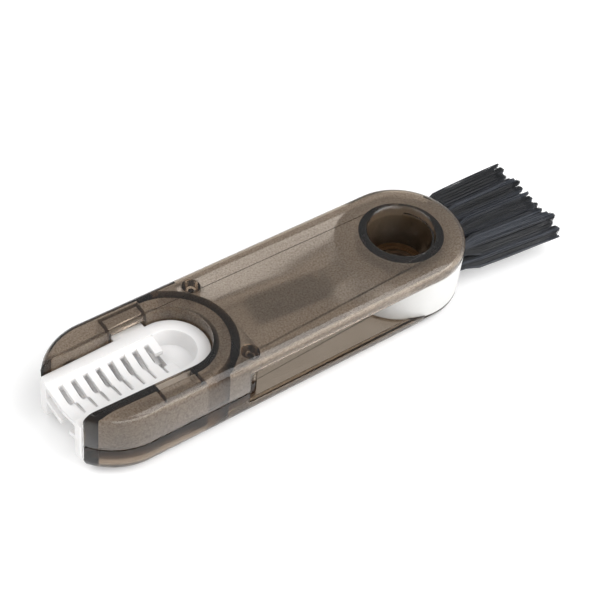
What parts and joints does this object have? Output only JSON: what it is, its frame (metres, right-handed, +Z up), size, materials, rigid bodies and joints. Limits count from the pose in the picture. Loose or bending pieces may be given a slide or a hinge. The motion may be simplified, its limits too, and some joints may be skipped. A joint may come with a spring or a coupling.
{
  "type": "groove brush",
  "caption": "Pocket groove brush: a see-through case with a soft finger comb in its end slot and a swivel rotor that carries a tufted brush opposite a twisted-wire brush.",
  "frame": {"origin": "rotor's turning axis, at the flat underside of the case", "axes": "+X from the slot end along the case to the tufted brush, +Z up out of the case's top face, +Y to the left of +X"},
  "size_m": [0.1413, 0.032, 0.0186],
  "materials": {
    "smoky_plastic": "clear smoke-brown polystyrene, polished, faintly frosted inside",
    "white_plastic": "white moulded polypropylene, satin",
    "white_rubber": "soft white elastomer, matte",
    "dark_bristle": "blue-black nylon filament",
    "steel_wire": "drawn steel wire"
  },
  "bodies": {
    "case": {"top_shell": "smoky_plastic", "bottom_shell": "smoky_plastic", "comb_insert": "white_rubber"},
    "rotor": {"rotor_hub": "white_plastic", "twisted_wire": "steel_wire", "spiral_bristles": "dark_bristle", "tuft_01": "dark_bristle", "tuft_02": "dark_bristle", "tuft_03": "dark_bristle", "tuft_04": "dark_bristle", "tuft_05": "dark_bristle", "tuft_06": "dark_bristle", "tuft_07": "dark_bristle", "tuft_08": "dark_bristle", "tuft_anchor_01": "steel_wire", "tuft_anchor_02": "steel_wire", "tuft_anchor_03": "steel_wire", "tuft_anchor_04": "steel_wire", "tuft_anchor_05": "steel_wire", "tuft_anchor_06": "steel_wire", "tuft_anchor_07": "steel_wire", "tuft_anchor_08": "steel_wire"}
  },
  "joints": [
    {"name": "rotor_turn", "type": "hinge", "parent": "case", "child": "rotor", "pos_m": [0, 0, 0.0098], "axis": [0, 0, 1], "continuous": true}
  ]
}
